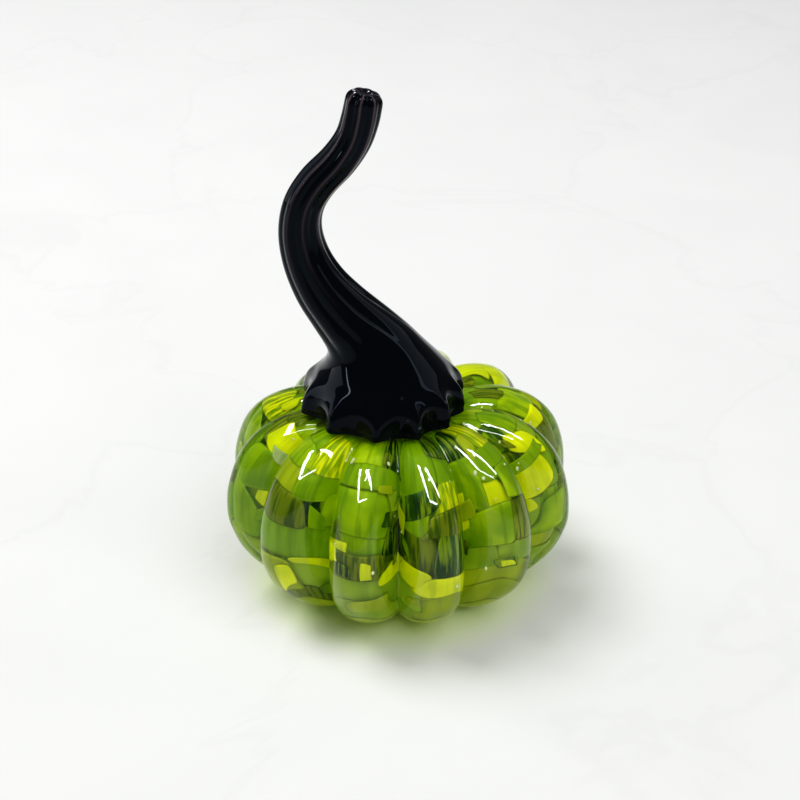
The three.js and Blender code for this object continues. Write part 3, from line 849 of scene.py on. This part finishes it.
def stem_ring(t, drawn_in, shift):
    """One ring round the stem, drawn in by a length and moved along the stem by a shift."""
    left_x, left_z, right_x, right_z, y, half_depth = curve_at(STEM_SECTIONS_MM, t)
    centre = np.array([(left_x + right_x) / 2, y, (left_z + right_z) / 2])
    across = np.array([(right_x - left_x) / 2, 0, (right_z - left_z) / 2])
    beside = np.array([0, half_depth, 0])
    along = np.cross(across, beside)
    along /= np.linalg.norm(along)
    pleated = 1 - smooth_step(t, *PLEATS_FADE)
    fluted = FLUTE_DEPTH * smooth_step(t, *FLUTES_GROW)
    offset = np.arcsin(COLLAR_CENTRE_MM * np.sin(stem_turns) / COLLAR_RADIUS_MM)
    angle = stem_turns + offset * (1 - smooth_step(t, 0, 0.4))
    flute = np.abs(np.cos((angle + FLUTE_TWIST * t) * FLUTES / 2))
    share = 1 - fluted * (1 - flute) + (pleated * scallop - drawn_in) / np.linalg.norm(across)
    ring = centre + np.outer(share * np.cos(angle), across) + np.outer(share * np.sin(angle), beside)
    return ring + along * shift


stem_rings = [collar_ring(share, 0, 0) for share in (0.3, 0.6, 0.85)]
for slope in np.radians(LIP_SLOPES):
    back = LIP_BACK_MM * (1 - math.cos(slope))
    stem_rings.append(collar_ring(1, back, LIP_MM / 2 * (1 + math.sin(slope))))
stem_share = [0.0] * len(stem_rings)
for row in range(STEM_ROWS + 1):
    stem_rings.append(stem_ring(row / STEM_ROWS, 0, 0))
    stem_share.append(row / STEM_ROWS)
for rounding in np.radians(END_SLOPES):
    drawn_in = STEM_END_MM * (1 - math.cos(rounding))
    stem_rings.append(stem_ring(1, drawn_in, STEM_END_MM * math.sin(rounding)))
    stem_share.append(1.0)
foot = np.array([[0, 0, CROWN_MM + JOINT_GAP_MM]]) * MM
dimple = stem_ring(1, 0, STEM_END_MM - STEM_DIMPLE_MM).mean(axis=0)[None, :] * MM
stem_points, stem_faces = closed_rings(np.array(stem_rings) * MM, foot, dimple)

dark_stem_glass, tree, surface = new_material("dark_stem_glass")
stem_glass = tree.nodes.new("ShaderNodeBsdfPrincipled")
stem_glass.inputs["Roughness"].default_value = 0.03
stem_glass.inputs["IOR"].default_value = 1.28
stem_glass.inputs["Specular Tint"].default_value = (0.74, 0.86, 1.0, 1.0)
along_stem = tree.nodes.new("ShaderNodeAttribute")
along_stem.attribute_name = "along"
ridge_highlight_mask = tree.nodes.new("ShaderNodeAttribute")
ridge_highlight_mask.attribute_name = "flute"
highlight_towards_end = stretched(tree, along_stem.outputs["Fac"], 0.45, 1.0)
painted_ridge_highlight = tree.nodes.new("ShaderNodeMath")
painted_ridge_highlight.operation = "MULTIPLY"
tree.links.new(highlight_towards_end, painted_ridge_highlight.inputs[0])
tree.links.new(ridge_highlight_mask.outputs["Fac"], painted_ridge_highlight.inputs[1])
# Painted highlight: a thin mauve-grey line along each flute ridge, stronger towards the end of the stem,
# stands for reflected light.
stem_dark_and_ridge_highlight = colour_mix(
    tree, painted_ridge_highlight.outputs["Value"], (0.0015, 0.0035, 0.0065, 1), (0.10, 0.068, 0.072, 1)
)
specks = tree.nodes.new("ShaderNodeTexVoronoi")
specks.inputs["Scale"].default_value = 240.0
stem_place = tree.nodes.new("ShaderNodeTexCoord")
tree.links.new(stem_place.outputs["Object"], specks.inputs["Vector"])
speck_mask = stretched(tree, specks.outputs["Distance"], 0.12, 0.06)
low_down = stretched(tree, along_stem.outputs["Fac"], 0.16, 0.08)
skirt_specks = tree.nodes.new("ShaderNodeMath")
skirt_specks.operation = "MULTIPLY"
tree.links.new(speck_mask, skirt_specks.inputs[0])
tree.links.new(low_down, skirt_specks.inputs[1])
speckled = colour_mix(tree, skirt_specks.outputs["Value"], stem_dark_and_ridge_highlight, (0.05, 0.07, 0.08, 1))
tree.links.new(speckled, stem_glass.inputs["Base Color"])
tree.links.new(stem_glass.outputs["BSDF"], surface.inputs["Surface"])

stem = mesh_piece("stem_glass", stem_points, stem_faces, dark_stem_glass)
shares = np.array(stem_share)
# These values mark where the painted highlight lines lie on the flute ridges.
ridge_highlight_values = np.abs(np.cos((stem_turns[None, :] + FLUTE_TWIST * shares[:, None]) * FLUTES / 2))
ridge_highlight_values = ridge_highlight_values**RIDGE_SHARPNESS
add_values(stem, "along", "FLOAT", np.concatenate([[0], np.repeat(shares, STEM_COLUMNS), [1]]))
add_values(stem, "flute", "FLOAT", np.concatenate([[0], ridge_highlight_values.ravel(), [0]]))
rounder = stem.modifiers.new("rounder", "SUBSURF")
rounder.levels = 1
rounder.render_levels = 1
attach(stem, "root")
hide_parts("stem")
dark_pieces.objects.link(stem)
